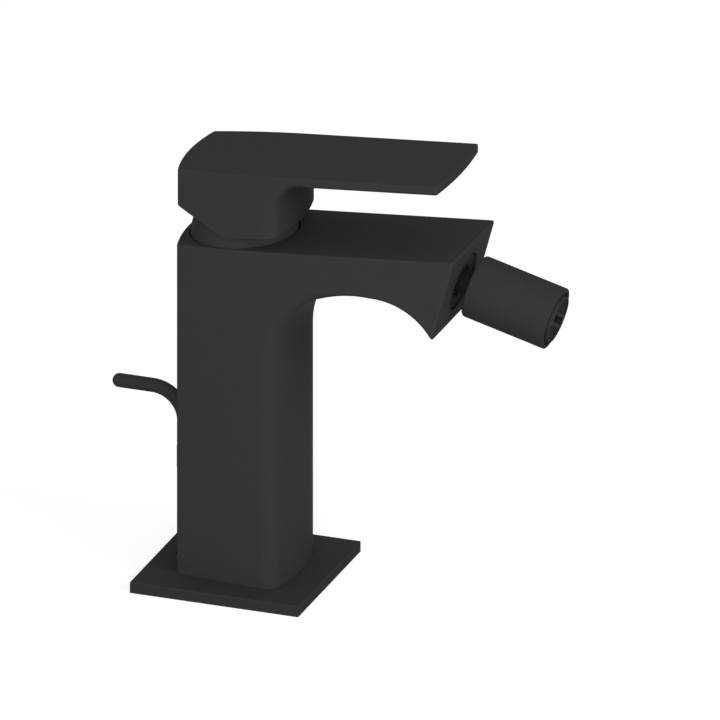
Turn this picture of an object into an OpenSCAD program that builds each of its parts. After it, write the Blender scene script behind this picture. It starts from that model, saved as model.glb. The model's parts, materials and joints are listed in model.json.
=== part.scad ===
// Single-lever bidet mixer with a swivel nozzle and a pop-up rod.
// Millimetres. +X points along the spout, +Z up, origin at the centre of the plate's underside.

/* [Base plate] */
// Side of the square base plate
plate_w = 60; // [56:0.5:70]
// Thickness of the base plate
plate_t = 4; // [3.5:0.1:6]
// Width of the rubber strip under the plate
gasket_w = 2; // [1.5:0.1:2.5]
// Depth of the groove that holds the strip
gasket_t = 1.5; // [1:0.1:2]

/* [Column] */
// Width of the column and of the spout
body_w = 40; // [39:0.1:42]
// Distance from the column axis to its back face
body_back = 20.35; // [19.8:0.05:21]
// Distance from the column axis to its front face
body_front = 20.2; // [20:0.1:22]
// Height of the body's sloping top, on the column axis
top_z = 124.8; // [116:0.1:136]
// Slope of the body's top and of the lever
top_tilt = 5; // [4:0.1:6]
// Radius of the gently bowed front and back faces
bow_r = 64; // [50:1:90]
// Radius of the sides where they close in toward the back
side_r = 195; // [150:1:300]
// Radius of the two front corners
corner_r = 5; // [3:0.1:7]
// Wall around the hose space
column_wall = 5.2; // [5.2:0.1:6]
// Height of the solid block between the hose space and the cartridge chamber
inlet_block_h = 20; // [18:0.5:40]

/* [Spout] */
// Reach of the spout's top edge
spout_reach = 81.65; // [79:0.05:90]
// Angle that the spout's face leans forward, and that the nozzle points down
face_lean = 15; // [10:0.5:18]
// Radius between the column and the spout
fillet_r = 24; // [20:0.5:26]
// Radius of the arch behind its highest point
arch_r = 40; // [38:0.5:44]
// Radius of the arch in front of its highest point
tip_r = 24.6; // [23.5:0.1:26.5]
// Reach of the arch's highest point
arch_x = 52; // [50:0.1:54]
// Height of the spout over the arch's highest point
spout_h = 14.9; // [14:0.05:16]

/* [Lever] */
// Height of the lever's top over the body's top, on the column axis
lever_rise = 27.4; // [26.5:0.1:30]
// Reach of the lever
lever_reach = 77; // [70:0.1:84]
// Thickness of the blade
blade_t = 3.5; // [3:0.1:4.5]
// Distance from the pivot's axis to the hub's back
lever_back = 20.05; // [19.8:0.05:20.6]
// Distance from the pivot's axis to the hub's front
lever_front = 20.5; // [20:0.1:22]
// Radius of the blade's bowed end
blade_end_r = 150; // [120:5:300]
// Radius between the hub and the blade
lever_fillet_r = 10; // [8:0.5:12]
// Gap between the body's top and the lowest point of the hub
hub_gap = 3.5; // [3.2:0.1:4.2]
// Slope of the hub's underside in front
hub_rise = 8.4; // [6:0.1:10]
// Slope of the cut that frees the hub's back when the lever is lifted
hub_cut = 28.3; // [27:0.1:31]
// How far the lever lifts
lift_range = 25; // [20:1:25]

/* [Dome and cartridge] */
// Depth of the lever's pivot below the body's top
pivot_drop = 1.8; // [1.4:0.1:2.3]
// Radius of the dome cover
dome_r = 18.2; // [18:0.1:18.3]
// Thickness of the dome cover
dome_t = 1.8; // [1.5:0.1:2]
// Height of the opening in the top of the dome, over the pivot
dome_h = 11; // [10:0.1:11.5]
// Outer radius of the cartridge housing
cart_r = 12.45; // [12.3:0.01:12.5]
// Depth of the cartridge chamber's floor below the body's top
chamber_drop = 24.8; // [24.3:0.1:25.3]
// Radius of the retaining nut's thread
nut_r = 14; // [13.8:0.05:14.1]
// Radius of the nut's head
nut_head_r = 15.05; // [14.8:0.05:15.2]
// Thickness of the fixed ceramic disc
fixed_t = 3; // [2.6:0.1:3.2]
// Thickness of the moving ceramic disc
moving_t = 2.6; // [2.4:0.1:2.8]
// Radius of the water ports
port_r = 2.8; // [2.4:0.1:3]

/* [Nozzle] */
// Outer radius of the nozzle
nozzle_r = 10.85; // [10.5:0.05:11.5]
// Length of the nozzle
nozzle_len = 30; // [29:0.5:40]
// Space between the spout's face and the nozzle
nozzle_gap = 4; // [3.8:0.1:5]
// Radius of the ball
ball_r = 7.5; // [7.3:0.05:7.6]
// Distance from the spout's face to the centre of the ball
ball_out = 12; // [11.8:0.1:12.7]
// Radius of the neck behind the ball
neck_r = 4.2; // [3.8:0.1:4.2]
// Distance from the spout's top edge down its face to the nozzle's axis
face_drop = 15.4; // [14.8:0.1:16.5]
// Radius of the round recess in the spout's face
recess_r = 10.4; // [10.3:0.1:11]
// Depth of the round recess
recess_depth = 2.5; // [2:0.1:3]
// Depth of the ring's face below the spout's face
ring_sunk = 0.8; // [0.4:0.1:1]
// Radius of the ring's hole round the neck
ring_hole_r = 5.8; // [5:0.1:6.5]
// Length of the nipple's thread
nipple_thread = 10; // [8:0.5:12]
// Radius of the aerator's grille
grille_r = 8.2; // [8:0.05:8.25]

/* [Pop-up rod] */
// Radius of the rod
rod_r = 2.4; // [2.2:0.05:2.5]
// Distance of the rod's leg behind the column axis
rod_x = 21.7; // [21.6:0.1:22.2]
// Height of the rod's handle
rod_z = 63.1; // [58:0.1:68]
// Reach of the rod's handle behind the column axis
rod_reach = 47.1; // [42:0.1:60]
// Bend radius of the rod
rod_bend_r = 11.2; // [9:0.1:14]
// How far the rod lifts
rod_travel = 25; // [15:1:25]

/* [Connections] */
// Radius of the hole for the fixing stud
stud_r = 4; // [3.5:0.05:4.5]
// Depth of the hole for the fixing stud
stud_depth = 20; // [12:0.5:30]
// Radius of the two hose connections
hose_r = 5; // [4.5:0.05:5]
// Depth of the hose connections
hose_depth = 11; // [9:0.5:11]

/* [Hidden] */
$fn = 64;

matt_black = [0.13, 0.13, 0.13];
// Small overlap that keeps cuts clean
eps = 0.1;
// Radial clearance of running fits, and of parts that are laid in
fit = 0.05;
// Clearance of cast and loose parts
loose = 0.2;

half_w = body_w / 2;
// The sides are parallel from here to the tip of the spout
parallel_x = 14;
rear_corner_r = 0.7;
edge_r = 1;
slope = tan(top_tilt);
// Longer than any cut that has to pass right through
reach = 200;
down_face = [-sin(face_lean), -cos(face_lean)];

// Heights that hang from the body's top
arch_z = top_z + slope * arch_x - spout_h;
pivot_z = top_z - pivot_drop;
lever_top_z = top_z + lever_rise;
hub_z = top_z + hub_gap;
chamber_z = top_z - chamber_drop;
hose_space_h = chamber_z - inlet_block_h;
dome_recess_depth = 3.3;
recess_z = top_z - dome_recess_depth;

// Cartridge heights, stacked up from the chamber's floor
seal_out = 0.4;
seal_h = 1;
base_z = chamber_z + seal_out;
base_flange_t = 1.2;
base_top_z = chamber_z + 4.4;
housing_z = base_z + base_flange_t;
housing_in_r = cart_r - 1.55;
moving_z = base_top_z + fixed_t;
carrier_z = moving_z + moving_t;
carrier_t = 4.6;
moving_r = 8.2;
guide_z = carrier_z + carrier_t + loose;
guide_flange_t = 1.8;
shoulder_z = guide_z + guide_flange_t + 1.9;
housing_neck_r = 10.3;
housing_neck_h = 2;
guide_r = 8;
guide_top_z = pivot_z + 3;
slot_x = 8.8;
slot_y = 5.2;
nut_z = chamber_z + 10.5;
recess_gap = 0.4;
nut_head_h = 4.2;
dome_z = recess_z + 0.4;
// The stem leans forward at rest by half of the lift, so that it ends leaning back as far
stem_lean = lift_range / 2;
stem_ball_h = pivot_z - (carrier_z + 2.6);
stem_ball_r = 2.2;
stem_x = 6;
stem_y = 5;
stem_top_h = 21;
pin_r = 1.25;
screw_h = 17;
screw_r = 2.5;
boss_w = 13;
boss_h = 5.2;
cap_r = 3.4;
cap_depth = 17;
// Ports are drilled through the chamber's floor, the base and the fixed disc
inlet_ports = [[-4, -6.5], [-4, 6.5]];
outlet_port = [6.8, 0];
hose_ports = [[-8, -8], [-8, 8]];
spigot_half = half_w - 4;
space_half = half_w - column_wall;
stud_boss_r = stud_r + 2.2;
rod_hole_r = rod_r + 0.5;
clip_z = 36;
clip_h = 8;
clip_t = 1.1;
clip_peg_r = 1.5;
rod_low_z = 0.5;

// Half width of the body and of the lever at a reach x
function half_width(x) =
  x >= parallel_x ? half_w : half_w - side_r + sqrt(pow(side_r, 2) - pow(parallel_x - x, 2));
// Height of a sloping plane at a reach x
function slope_z(z0, x) = z0 + slope * x;
function unit(v) = v / norm(v);
function mix(a, b, t) = a + (b - a) * t;
function on_arc(c, r, a) = [c[0] + r * cos(a), c[1] + r * sin(a)];

// Depth, behind the middle of a bowed face of half width w, at which its corner ends
function bow_depth(bow, r, w) = bow - sqrt(pow(bow - r, 2) - pow(w - r, 2));
// Half width at which a bowed back face meets the sides
function back_width(back, w, tries) =
  tries == 0 ? w : back_width(back, half_width(-back + bow_depth(bow_r, rear_corner_r, w)), tries - 1);

// Points [depth, y] across a bowed face with rounded corners, from its near to its far edge
corner_steps = 6;
bow_steps = 8;
function bowed_edge(bow, r, w) =
  let (a = asin((w - r) / (bow - r)), dc = bow_depth(bow, r, w), yc = w - r)
  concat(
    [for (i = [0 : corner_steps]) let (t = mix(-90, -a, i / corner_steps))
      [dc - r * cos(t), -yc + r * sin(t)]],
    [for (i = [1 : bow_steps - 1]) let (t = mix(-a, a, i / bow_steps))
      [bow - bow * cos(t), bow * sin(t)]],
    [for (i = [0 : corner_steps]) let (t = mix(a, 90, i / corner_steps))
      [dc - r * cos(t), yc + r * sin(t)]]
  );

// A station of the skin is [front point, direction inward, roundness 0 to 1, back point, kind],
// where the kind says whether the back point lies on the back wall, its top corner or the top.
ON_WALL = 0;
ON_CORNER = 1;
ON_TOP = 2;
function front_points(s) =
  [for (p = bowed_edge(bow_r / max(s[2], 0.02), mix(edge_r, corner_r, s[2]), half_w))
    let (x = s[0][0] + s[1][0] * p[0], z = s[0][1] + s[1][1] * p[0])
    [x, p[1] * half_width(x) / half_w, z]];
function back_points(s, back, z0) =
  let (w = back_width(back, half_w, 6))
  [for (p = bowed_edge(bow_r, rear_corner_r, w))
    s[4] == ON_TOP ? [s[3][0], p[1] * half_width(s[3][0]) / w, s[3][1]]
    : let (x = s[3][0] + p[0]) [x, p[1], s[4] == ON_CORNER ? slope_z(z0, x) : s[3][1]]];
side_steps = 4;
function side_points(a, b, side) =
  [for (i = [1 : side_steps - 1]) let (p = mix(a, b, i / side_steps))
    [p[0], side * half_width(p[0]), p[2]]];
function ring(s, back, z0) =
  let (f = front_points(s), b = back_points(s, back, z0), n = len(f))
  concat(
    f,
    side_points(f[n - 1], b[n - 1], 1),
    [for (i = [n - 1 : -1 : 0]) b[i]],
    side_points(b[0], f[0], -1)
  );

// A closed skin through the rings of the stations
module skin(stations, back, z0) {
  rings = [for (s = stations) ring(s, back, z0)];
  n = len(rings[0]);
  m = len(rings);
  polyhedron(
    points = [for (r = rings) each r],
    faces = concat(
      [[for (i = [0 : n - 1]) i]],
      [[for (i = [n - 1 : -1 : 0]) (m - 1) * n + i]],
      [for (k = [0 : m - 2], i = [0 : n - 1]) let (j = (i + 1) % n)
        each [[k * n + i, (k + 1) * n + i, (k + 1) * n + j], [k * n + i, (k + 1) * n + j, k * n + j]]]
    ),
    convexity = 6
  );
}

// The back point that faces a point q of the front, along the direction d
function facing(q, d, back, z0) =
  let (to_wall = d[0] < 0 ? (q[0] + back) / -d[0] : 1000,
       to_top = (slope_z(z0, q[0]) - q[1]) / (d[1] - slope * d[0]))
  to_wall < to_top ? [q + d * to_wall, ON_WALL] : [q + d * to_top, ON_TOP];
function station(q, d, roundness, back, z0) =
  let (f = facing(q, d, back, z0)) [q, d, roundness, f[0], f[1]];

// Stations up a straight front wall
function wall_stations(x, back, heights, z0) =
  [for (z = heights) station([x, z], [-1, 0], 1, back, z0)];
// Stations round a fillet, with one exactly at the top corner of the back wall
function fillet_stations(c, r, a1, k1, back, z0, steps) =
  let (corner = [-back, slope_z(z0, -back)],
       ac = atan2(corner[1] - c[1], corner[0] - c[0]),
       roundness = function (a) mix(k1, 1, (a - a1) / (180 - a1)))
  concat(
    [for (i = [0 : steps]) let (a = mix(180, ac, i / (steps + 1)), d = on_arc([0, 0], 1, a))
      station(on_arc(c, r, a), d, roundness(a), back, z0)],
    [[on_arc(c, r, ac), on_arc([0, 0], 1, ac), roundness(ac), corner, ON_CORNER]],
    [for (i = [1 : steps * 2]) let (a = mix(ac, a1, i / (steps * 2)), d = on_arc([0, 0], 1, a))
      station(on_arc(c, r, a), d, roundness(a), back, z0)]
  );

// Casting: the outline of the spout's underside
arch_c = [arch_x, arch_z - arch_r];
fillet_x = body_front + fillet_r;
fillet_c = [fillet_x,
  arch_c[1] + sqrt(pow(arch_r - fillet_r, 2) - pow(arch_x - fillet_x, 2))];
join_a = atan2(fillet_c[1] - arch_c[1], fillet_c[0] - arch_c[0]);
join_roundness = 0.25;
tip_c = [arch_x, arch_z - tip_r];
face_top = [spout_reach, slope_z(top_z, spout_reach)];
tip_b = (tip_c - face_top) * down_face;
tip_p = face_top + down_face
  * (tip_b - sqrt(pow(tip_b, 2) - pow(norm(tip_c - face_top), 2) + pow(tip_r, 2)));
tip_a = atan2(tip_p[1] - tip_c[1], tip_p[0] - tip_c[0]);
arch_steps = 6;
tip_steps = 8;
casting_stations = concat(
  wall_stations(body_front, body_back, [plate_t], top_z),
  fillet_stations(fillet_c, fillet_r, join_a, join_roundness, body_back, top_z, 4),
  [for (i = [1 : arch_steps]) let (a = mix(join_a, 90, i / arch_steps), d = on_arc([0, 0], 1, a))
    station(on_arc(arch_c, arch_r, a), d, mix(join_roundness, 0, i / arch_steps), body_back, top_z)],
  [for (i = [1 : tip_steps])
    let (q = on_arc(tip_c, tip_r, mix(90, tip_a, i / tip_steps)),
         x = mix(arch_x, spout_reach, i / tip_steps), b = [x, slope_z(top_z, x)])
    [q, unit(b - q), 0, b, ON_TOP]]
);

// Lever: the outline of the hub's front and the blade's underside
blade_z = lever_top_z - blade_t / cos(top_tilt);
lever_fillet_x = lever_front + lever_fillet_r;
lever_fillet_c =
  [lever_fillet_x, slope_z(blade_z, lever_fillet_x) - lever_fillet_r / cos(top_tilt)];
blade_end = lever_reach + 2;
lever_stations = concat(
  wall_stations(lever_front, lever_back, [hub_z - 4], lever_top_z),
  fillet_stations(lever_fillet_c, lever_fillet_r, 90 + top_tilt, 0, lever_back, lever_top_z, 3),
  [[[blade_end, slope_z(blade_z, blade_end)], [0, 1], 0,
    [blade_end, slope_z(lever_top_z, blade_end)], ON_TOP]]
);

// A round bar or bore from one point to another
module bar(a, b, r) {
  v = b - a;
  translate(a) rotate([0, acos(v[2] / norm(v)), atan2(v[1], v[0])]) cylinder(h = norm(v), r = r);
}
module ring_solid(outer, inner, z, h) {
  translate([0, 0, z]) difference() {
    cylinder(h = h, r = outer);
    translate([0, 0, -eps]) cylinder(h = h + 2 * eps, r = inner);
  }
}
module rounded_block(half, r, z, h) {
  translate([0, 0, z]) {
    translate([-half, -half + r, 0]) cube([2 * half, 2 * (half - r), h]);
    translate([-half + r, -half, 0]) cube([2 * (half - r), 2 * half, h]);
    for (x = [-1, 1], y = [-1, 1]) translate([x * (half - r), y * (half - r), 0])
      cylinder(h = h, r = r);
  }
}
module square_ring(outer, inner, z, h) {
  translate([0, 0, z]) difference() {
    translate([-outer, -outer, 0]) cube([2 * outer, 2 * outer, h]);
    translate([-inner, -inner, -eps]) cube([2 * inner, 2 * inner, h + 2 * eps]);
  }
}
// Frame of the nozzle: z along its axis, from the centre of the spout's face
face_centre = face_top + down_face * face_drop;
module at_face() {
  translate([face_centre[0], 0, face_centre[1]]) rotate([0, 90 + face_lean, 0]) children();
}
// Frame of the stem: z along it, from the pivot
module at_stem() {
  translate([0, 0, pivot_z]) rotate([0, stem_lean, 0]) children();
}

gasket_out = plate_w / 2 - 1.5;
seal_half = spigot_half + 1;
seal_t = 1.4;
module base_plate() {
  color(matt_black) difference() {
    translate([-plate_w / 2, -plate_w / 2, 0]) cube([plate_w, plate_w, plate_t]);
    translate([-spigot_half - loose, -spigot_half - loose, -eps])
      cube([2 * (spigot_half + loose), 2 * (spigot_half + loose), plate_t + 2 * eps]);
    translate([-seal_half, -seal_half, plate_t - seal_t])
      cube([2 * seal_half, 2 * seal_half, seal_t + eps]);
    square_ring(gasket_out, gasket_out - gasket_w, -eps, gasket_t + eps);
    translate([-rod_x, 0, -eps]) cylinder(h = plate_t + 2 * eps, r = rod_hole_r);
  }
}

module plate_gasket() {
  color("dimgray") square_ring(gasket_out - fit, gasket_out - gasket_w + fit, 0, gasket_t);
}

module spigot_seal() {
  color("dimgray")
    square_ring(seal_half - fit, spigot_half + fit, plate_t - seal_t + fit, seal_t - 2 * fit);
}

// Waterways: two inlets up to the chamber, and the outlet round it to the spout
gallery_z = chamber_z - 7;
outlet_x = 16;
module waterways() {
  for (i = [0, 1]) {
    translate([hose_ports[i][0], hose_ports[i][1], hose_space_h - eps])
      cylinder(h = hose_depth + eps, r = hose_r);
    bar([hose_ports[i][0], hose_ports[i][1], hose_space_h + hose_depth - 1],
        [inlet_ports[i][0], inlet_ports[i][1], chamber_z + 0.5], port_r);
  }
  bar([outlet_port[0], 0, gallery_z], [outlet_port[0], 0, chamber_z + 0.5], port_r);
  bar([outlet_port[0] - 2, 0, gallery_z], [outlet_x + 1.5, 0, gallery_z], 2.4);
  bar([outlet_x, 0, gallery_z], [22.4, 0, recess_z - 3], 2.4);
  bar([21, 0, recess_z - 4.5], [spout_reach - 16, 0, recess_z], 3.2);
}

module body_casting() {
  color(matt_black) difference() {
    union() {
      difference() {
        skin(casting_stations, body_back, top_z);
        rounded_block(space_half, 4, 0, hose_space_h);
      }
      cylinder(h = hose_space_h + 1, r = stud_boss_r);
      square_ring(spigot_half, space_half, 0.5, plate_t + 0.5);
    }
    translate([0, 0, -eps]) cylinder(h = stud_depth + eps, r = stud_r);
    waterways();
    translate([0, 0, chamber_z]) cylinder(h = reach, r = cart_r + 0.15);
    translate([0, 0, nut_z - 0.5]) cylinder(h = reach, r = nut_r + fit);
    translate([0, 0, recess_z]) cylinder(h = reach, r = dome_r + recess_gap);
    at_face() {
      translate([0, 0, -recess_depth]) cylinder(h = 2 * recess_depth, r = recess_r);
      translate([0, 0, -recess_depth - nipple_thread - 0.5])
        cylinder(h = nipple_thread + 1, r = ball_r + fit);
    }
    // Channel that lets the rod run close behind the column
    translate([-rod_x, 0, plate_t - eps])
      cylinder(h = rod_z + rod_travel - plate_t, r = rod_hole_r);
    translate([-rod_x, 0, clip_z - fit]) cylinder(h = clip_h + 2 * fit, r = rod_r + 2 * fit + clip_t);
    translate([0, 0, clip_z + clip_h / 2]) rotate([0, -90, 0]) cylinder(h = reach, r = clip_peg_r);
  }
}

// Plastic guide, open toward the back, with a peg that plugs into the column's wall
module rod_clip() {
  clip_r = rod_r + fit + clip_t;
  clip_mouth = rod_r * 0.62;
  color("dimgray") difference() {
    union() {
      translate([-rod_x, 0, clip_z]) cylinder(h = clip_h, r = clip_r);
      translate([-space_half - 0.6, 0, clip_z + clip_h / 2]) rotate([0, -90, 0])
        cylinder(h = rod_x - clip_r - space_half - 0.6 + 0.5, r = clip_peg_r);
    }
    translate([-rod_x, 0, clip_z - eps]) cylinder(h = clip_h + 2 * eps, r = rod_r + fit);
    translate([-rod_x - clip_mouth - clip_r, -clip_r, clip_z - eps])
      cube([clip_r, 2 * clip_r, clip_h + 2 * eps]);
  }
}

module popup_rod() {
  bend_x = -rod_x - rod_bend_r;
  bend_z = rod_z - rod_bend_r;
  color(matt_black) {
    translate([-rod_x, 0, rod_low_z]) cylinder(h = bend_z - rod_low_z, r = rod_r);
    translate([bend_x, 0, bend_z]) rotate([90, 0, 0]) rotate_extrude(angle = 90)
      translate([rod_bend_r, 0]) circle(r = rod_r);
    bar([-rod_reach + rod_r, 0, rod_z], [bend_x, 0, rod_z], rod_r);
    translate([-rod_reach + rod_r, 0, rod_z]) sphere(r = rod_r);
  }
}

module ports(z, h, r) {
  for (p = concat(inlet_ports, [outlet_port])) translate([p[0], p[1], z]) cylinder(h = h, r = r);
}

module cartridge_base() {
  color("whitesmoke") difference() {
    union() {
      translate([0, 0, base_z]) cylinder(h = base_flange_t, r = cart_r);
      translate([0, 0, base_z]) cylinder(h = base_top_z - base_z, r = housing_in_r - loose);
    }
    ports(base_z - 1, 10, port_r);
    ports(base_z - 1, 1 + seal_h - seal_out, port_r + 1.6);
  }
}

module port_seals() {
  color("dimgray") for (p = concat(inlet_ports, [outlet_port]))
    translate([p[0], p[1], 0]) ring_solid(port_r + 1.6 - fit, port_r + 0.4, chamber_z, seal_h);
}

module cartridge_housing() {
  guide_hole_r = guide_r + 0.1;
  color("whitesmoke") difference() {
    union() {
      translate([0, 0, housing_z]) cylinder(h = shoulder_z - housing_z, r = cart_r);
      translate([0, 0, housing_z])
        cylinder(h = shoulder_z + housing_neck_h - housing_z, r = housing_neck_r);
    }
    translate([0, 0, housing_z - eps])
      cylinder(h = guide_z + guide_flange_t + eps - housing_z + eps, r = housing_in_r);
    translate([0, 0, housing_z]) cylinder(h = reach, r = guide_hole_r);
  }
}

module fixed_disc() {
  color("ivory") difference() {
    translate([0, 0, base_top_z]) cylinder(h = fixed_t, r = housing_in_r - loose);
    ports(base_top_z - eps, fixed_t + 2 * eps, port_r - 0.2);
  }
}

// Rest offset of the moving disc, which the stem's ball drives forward
slide_rest = -stem_ball_h * sin(stem_lean);
peg_y = 5.5;
peg_r = 0.9;
module moving_disc() {
  color("ivory") translate([slide_rest, 0, 0]) difference() {
    translate([0, 0, moving_z]) cylinder(h = moving_t, r = moving_r);
    // Mixing pocket that joins the ports when it slides over them
    translate([2, 0, moving_z - eps]) cylinder(h = 1.4 + eps, r = 4.2);
    for (y = [-1, 1]) translate([-1, y * peg_y, moving_z + 1]) cylinder(h = 5, r = peg_r + fit);
  }
}

module disc_carrier() {
  color("whitesmoke") translate([slide_rest, 0, 0]) difference() {
    union() {
      translate([0, 0, carrier_z]) cylinder(h = carrier_t, r = moving_r);
      for (y = [-1, 1]) translate([-1, y * peg_y, moving_z + 1.2])
        cylinder(h = moving_t, r = peg_r);
    }
    translate([0, 0, carrier_z - eps]) cylinder(h = carrier_t + 2 * eps, r = stem_ball_r + 2 * fit);
  }
}

oring_z = shoulder_z + 0.3;
oring_h = 1.4;
module stem_guide() {
  color("whitesmoke") difference() {
    union() {
      translate([0, 0, guide_z]) cylinder(h = guide_flange_t, r = housing_in_r - 0.6);
      translate([0, 0, guide_z]) cylinder(h = guide_top_z - guide_z, r = guide_r);
    }
    ring_solid(guide_r + 1, guide_r - 1.1, oring_z, oring_h);
    translate([-slot_x / 2, -slot_y / 2, guide_z - eps])
      cube([slot_x, slot_y, guide_top_z - guide_z + 2 * eps]);
    translate([0, 0, pivot_z]) rotate([90, 0, 0])
      cylinder(h = 3 * guide_r, r = pin_r, center = true);
  }
}

module guide_oring() {
  color("dimgray") ring_solid(guide_r + fit, guide_r - 1.1 + fit, oring_z + fit, oring_h - 2 * fit);
}

module pivot_pin() {
  color("silver") translate([0, 0, pivot_z]) rotate([90, 0, 0])
    cylinder(h = 2 * guide_r - 1, r = pin_r, center = true);
}

module lever_stem() {
  color("silver") at_stem() difference() {
    union() {
      translate([-stem_x / 2, -stem_y / 2, 0]) cube([stem_x, stem_y, stem_top_h]);
      rotate([90, 0, 0]) cylinder(h = stem_y, r = stem_x / 2 + 0.2, center = true);
      translate([0, 0, -stem_ball_h]) cylinder(h = stem_ball_h, r = 1.7);
      translate([0, 0, -stem_ball_h]) sphere(r = stem_ball_r);
    }
    rotate([90, 0, 0]) cylinder(h = 2 * stem_y, r = pin_r + fit, center = true);
  }
}

module retaining_nut() {
  color("goldenrod") difference() {
    union() {
      translate([0, 0, nut_z]) cylinder(h = recess_z - nut_z + 1, r = nut_r);
      translate([0, 0, recess_z + eps]) cylinder(h = nut_head_h, r = nut_head_r);
    }
    translate([0, 0, nut_z - eps]) cylinder(h = shoulder_z - nut_z + eps, r = cart_r + 0.15);
    translate([0, 0, nut_z]) cylinder(h = reach, r = housing_neck_r + loose);
    for (a = [0 : 90 : 270]) rotate([0, 0, a + 45])
      translate([housing_neck_r - 1, -1.5, recess_z + nut_head_h - 2]) cube([8, 3, 5]);
  }
}

module dome_cover() {
  thread_top = recess_z + nut_head_h + loose;
  color(matt_black) difference() {
    intersection() {
      translate([0, 0, pivot_z]) sphere(r = dome_r);
      translate([0, 0, dome_z]) cylinder(h = pivot_z + dome_h - dome_z, r = dome_r + 1);
    }
    translate([0, 0, dome_z - eps]) cylinder(h = thread_top - dome_z + eps, r = nut_head_r + fit);
    intersection() {
      translate([0, 0, pivot_z]) sphere(r = dome_r - dome_t);
      translate([0, 0, thread_top - eps]) cylinder(h = reach, r = dome_r);
    }
  }
}

module lever_outline() {
  intersection() {
    skin(lever_stations, lever_back, lever_top_z);
    translate([lever_reach - blade_end_r, 0, 0]) cylinder(h = reach, r = blade_end_r, $fn = 256);
  }
}

lever_gap = 0.6;
hub_low_x = -0.9;
core_r = 14;
// Height of the hollow in the hub, under the lever's top
core_top_z = lever_top_z - 4.9;
module lever() {
  color(matt_black) difference() {
    union() {
      difference() {
        lever_outline();
        translate([0, 0, pivot_z]) sphere(r = dome_r + lever_gap);
        translate([0, 0, pivot_z + dome_h]) cylinder(h = core_top_z - pivot_z - dome_h, r = core_r);
      }
      at_stem() translate([-boss_w / 2, -boss_w / 2, boss_h])
        cube([boss_w, boss_w, core_top_z - pivot_z - boss_h]);
    }
    // Underside of the hub: it rises toward the front, and is cut away more steeply behind
    rotate([90, 0, 0]) translate([0, 0, -half_w - 1]) linear_extrude(height = body_w + 2)
      polygon([[hub_low_x, hub_z], [-reach, hub_z + (reach + hub_low_x) * tan(hub_cut)], [-reach, 0],
               [reach, 0], [reach, hub_z + (reach - hub_low_x) * tan(hub_rise)]]);
    at_stem() {
      translate([-stem_x / 2 - fit, -stem_y / 2 - fit, 0])
        cube([stem_x + 2 * fit, stem_y + 2 * fit, stem_top_h + loose]);
      translate([0, 0, screw_h]) rotate([0, -90, 0]) cylinder(h = reach, r = screw_r + fit);
      translate([-cap_depth, 0, screw_h]) rotate([0, -90, 0]) cylinder(h = reach, r = cap_r + fit);
    }
  }
}

module lever_screw() {
  screw_len = 6;
  color("silver") at_stem() translate([-stem_x / 2 - fit, 0, screw_h]) rotate([0, -90, 0])
    difference() {
      cylinder(h = screw_len, r = screw_r);
      translate([0, 0, screw_len - 2.5]) cylinder(h = 3, r = 1.45, $fn = 6);
    }
}

module screw_cap() {
  color(matt_black) intersection() {
    lever_outline();
    at_stem() {
      translate([-cap_depth, 0, screw_h]) rotate([0, -90, 0]) cylinder(h = reach, r = cap_r);
      translate([-cap_depth + 2, 0, screw_h]) rotate([0, -90, 0]) cylinder(h = reach, r = screw_r);
    }
  }
}

ring_t = 0.6;
hex_t = recess_depth - ring_sunk - ring_t - eps;
hex_r = ball_r + 1.2;
ball_flat = ball_r - 1;
nipple_bore_r = neck_r - 1.4;
module ball_nipple() {
  color("silver") at_face() difference() {
    union() {
      translate([0, 0, -recess_depth - nipple_thread])
        cylinder(h = nipple_thread + hex_t / 2, r = ball_r);
      translate([0, 0, -recess_depth]) cylinder(h = hex_t, r = hex_r, $fn = 6);
      translate([0, 0, -recess_depth]) cylinder(h = ball_out, r = neck_r);
      intersection() {
        translate([0, 0, ball_out]) sphere(r = ball_r);
        cylinder(h = ball_out + ball_flat, r = ball_r + 1);
      }
    }
    translate([0, 0, -reach / 2]) cylinder(h = reach, r = nipple_bore_r);
  }
}

// Ring that covers the hexagon and fills the recess round the neck
module nipple_ring() {
  color(matt_black) at_face() {
    ring_solid(recess_r - fit, hex_r + loose, -recess_depth, recess_depth - ring_sunk - eps);
    ring_solid(recess_r - fit, ring_hole_r, -ring_sunk - ring_t, ring_t);
  }
}

liner_in_r = ball_r + 0.08;
liner_out_r = ball_r + 1.5;
socket_r = liner_out_r + 0.08;
// The liner lies behind the ball's middle, between these distances from it
liner_front = 0.3;
liner_rear = 4.6;
module ball_liner() {
  color("whitesmoke") at_face() translate([0, 0, ball_out]) difference() {
    sphere(r = liner_out_r);
    sphere(r = liner_in_r);
    translate([0, 0, -liner_front]) cylinder(h = reach, r = reach);
    translate([0, 0, -liner_rear - reach]) cylinder(h = reach, r = reach);
  }
}

sleeve_end = nozzle_gap + nozzle_len;
aerator_h = 12.5;
thread_z = sleeve_end - aerator_h;
thread_r = socket_r + 0.35;
rear_opening_r = 7.8;
module nozzle_sleeve() {
  color(matt_black) at_face() difference() {
    translate([0, 0, nozzle_gap]) cylinder(h = nozzle_len, r = nozzle_r);
    translate([0, 0, ball_out]) sphere(r = socket_r);
    translate([0, 0, ball_out]) cylinder(h = reach, r = socket_r);
    translate([0, 0, thread_z]) cylinder(h = reach, r = thread_r);
    cylinder(h = ball_out, r = rear_opening_r);
  }
}

bush_gap = 2.1;
bush_z = ball_out + bush_gap;
washer_t = 1.5;
module seat_bush() {
  color("goldenrod") at_face() difference() {
    translate([0, 0, bush_z]) cylinder(h = thread_z - washer_t - bush_z, r = socket_r - fit);
    translate([0, 0, ball_out]) sphere(r = liner_in_r);
    cylinder(h = reach, r = nipple_bore_r + 1.2);
  }
}

module aerator_washer() {
  color("dimgray") at_face() ring_solid(socket_r - fit, socket_r - 3.5, thread_z - washer_t, washer_t);
}

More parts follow.
